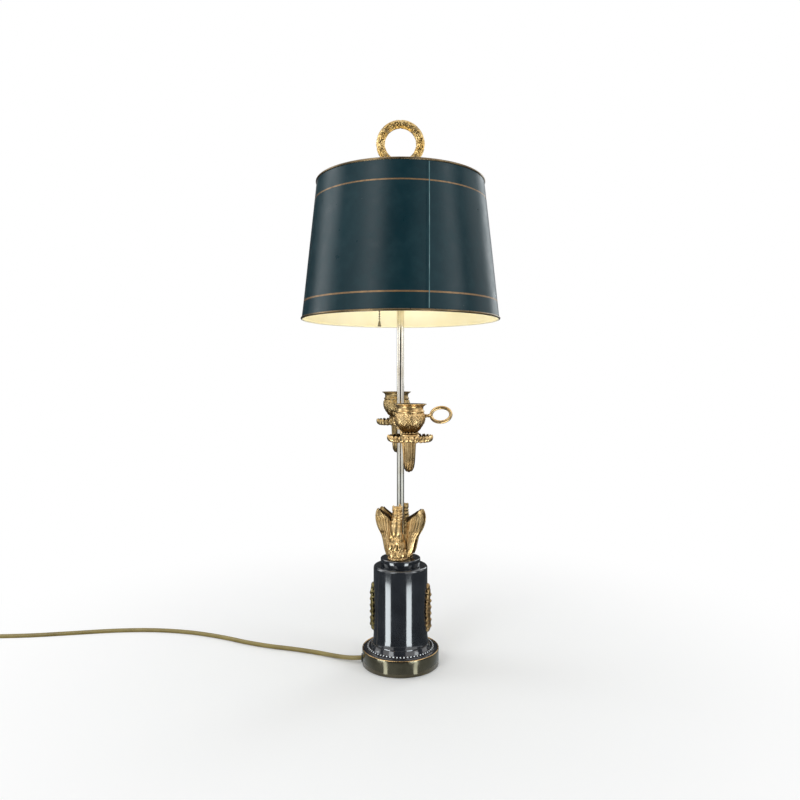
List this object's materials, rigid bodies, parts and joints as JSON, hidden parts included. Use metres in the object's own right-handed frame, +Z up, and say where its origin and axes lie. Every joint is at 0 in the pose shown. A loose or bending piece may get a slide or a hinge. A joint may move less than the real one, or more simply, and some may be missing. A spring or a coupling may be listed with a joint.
{
  "type": "bouillotte lamp",
  "caption": "Bouillotte table lamp with swan pair, black column, swinging candle arms, sliding tin shade, pull chain and wreath finial.",
  "frame": {"origin": "on the pole's axis, at the underside of the base", "axes": "+Z up along the pole, -Y towards the front, where the candle arm with the finger loop on its right is, +X to the right"},
  "size_m": [0.8793, 0.3563, 0.7498],
  "materials": {
    "old_brass": "patinated, satin",
    "gilt_bronze": "gilded casting, burnished high points",
    "black_lacquer": "gloss black lacquer on turned wood",
    "polished_metal": "polished",
    "steel": "plain",
    "iron": "rough",
    "felt": "felt",
    "painted_tin": "semi-gloss dark teal outside, white inside",
    "bulb_glass": "opal",
    "cord_sheath": "olive gold, satin",
    "black_plastic": "satin"
  },
  "bodies": {
    "stand": {"base_shell": "old_brass", "felt_pad": "felt", "base_weight": "iron", "top_plate": "black_lacquer", "bead_ring": "black_lacquer", "column_foot": "black_lacquer", "column": "black_lacquer", "column_cap": "black_lacquer", "tie_rod": "steel", "tie_nut": "steel", "tie_washer": "steel", "cord_bushing": "black_plastic", "inner_lead": "cord_sheath", "plaque_left": "gilt_bronze", "plaque_right": "gilt_bronze", "plaque_nails": "gilt_bronze", "swan_plinth": "gilt_bronze", "swan_front": "gilt_bronze", "swan_rear": "gilt_bronze", "swan_screws": "steel", "pole": "polished_metal", "stop_collar": "gilt_bronze", "stop_screw": "steel", "cluster_body": "polished_metal", "socket_arm_left": "polished_metal", "socket_arm_right": "polished_metal", "lampholder_left": "polished_metal", "lampholder_right": "polished_metal", "bulb_left": "bulb_glass", "bulb_right": "bulb_glass", "bulb_cap_left": "steel", "bulb_cap_right": "steel", "pull_switch": "polished_metal", "upper_rod": "polished_metal", "finial_base": "gilt_bronze", "wreath": "gilt_bronze", "cord_run": "cord_sheath", "cord_coil": "cord_sheath", "plug_body": "black_plastic", "plug_pins": "steel"},
    "front_arm": {"arm_front": "gilt_bronze", "pan_front": "gilt_bronze", "cup_front": "gilt_bronze", "loop_front": "gilt_bronze", "stud_front": "steel"},
    "rear_arm": {"arm_rear": "gilt_bronze", "pan_rear": "gilt_bronze", "cup_rear": "gilt_bronze", "loop_rear": "gilt_bronze", "stud_rear": "steel"},
    "pull": {"pull_chain": "gilt_bronze"},
    "clamp": {"clamp_collar": "polished_metal"},
    "thumb": {"thumbscrew": "gilt_bronze"},
    "shade": {"spider": "polished_metal", "shade_skin": "painted_tin", "shade_rim_top": "old_brass", "shade_rim_bottom": "old_brass"}
  },
  "joints": [
    {"name": "front_arm_swing", "type": "hinge", "parent": "stand", "child": "front_arm", "pos_m": [0, 0, 0.33325], "axis": [0, 0, 1], "range_deg": [-50, 50]},
    {"name": "rear_arm_swing", "type": "hinge", "parent": "stand", "child": "rear_arm", "pos_m": [0, 0, 0.34675], "axis": [0, 0, 1], "range_deg": [-50, 50]},
    {"name": "pull_chain_pull", "type": "slide", "parent": "stand", "child": "pull", "axis": [0, 0, -1], "range_m": [0, 0.01], "stiffness_N_per_m": 200, "springref_m": -0.002},
    {"name": "shade_slide", "type": "slide", "parent": "stand", "child": "clamp", "axis": [0, 0, 1], "range_m": [-0.04, 0.012]},
    {"name": "thumbscrew_turn", "type": "hinge", "parent": "clamp", "child": "thumb", "pos_m": [0, 0.012, 0.63525], "axis": [0, 1, 0], "range_deg": [0, 360]},
    {"name": "shade_spin", "type": "hinge", "parent": "clamp", "child": "shade", "pos_m": [0, 0, 0.6465], "axis": [0, 0, 1], "continuous": true}
  ]
}
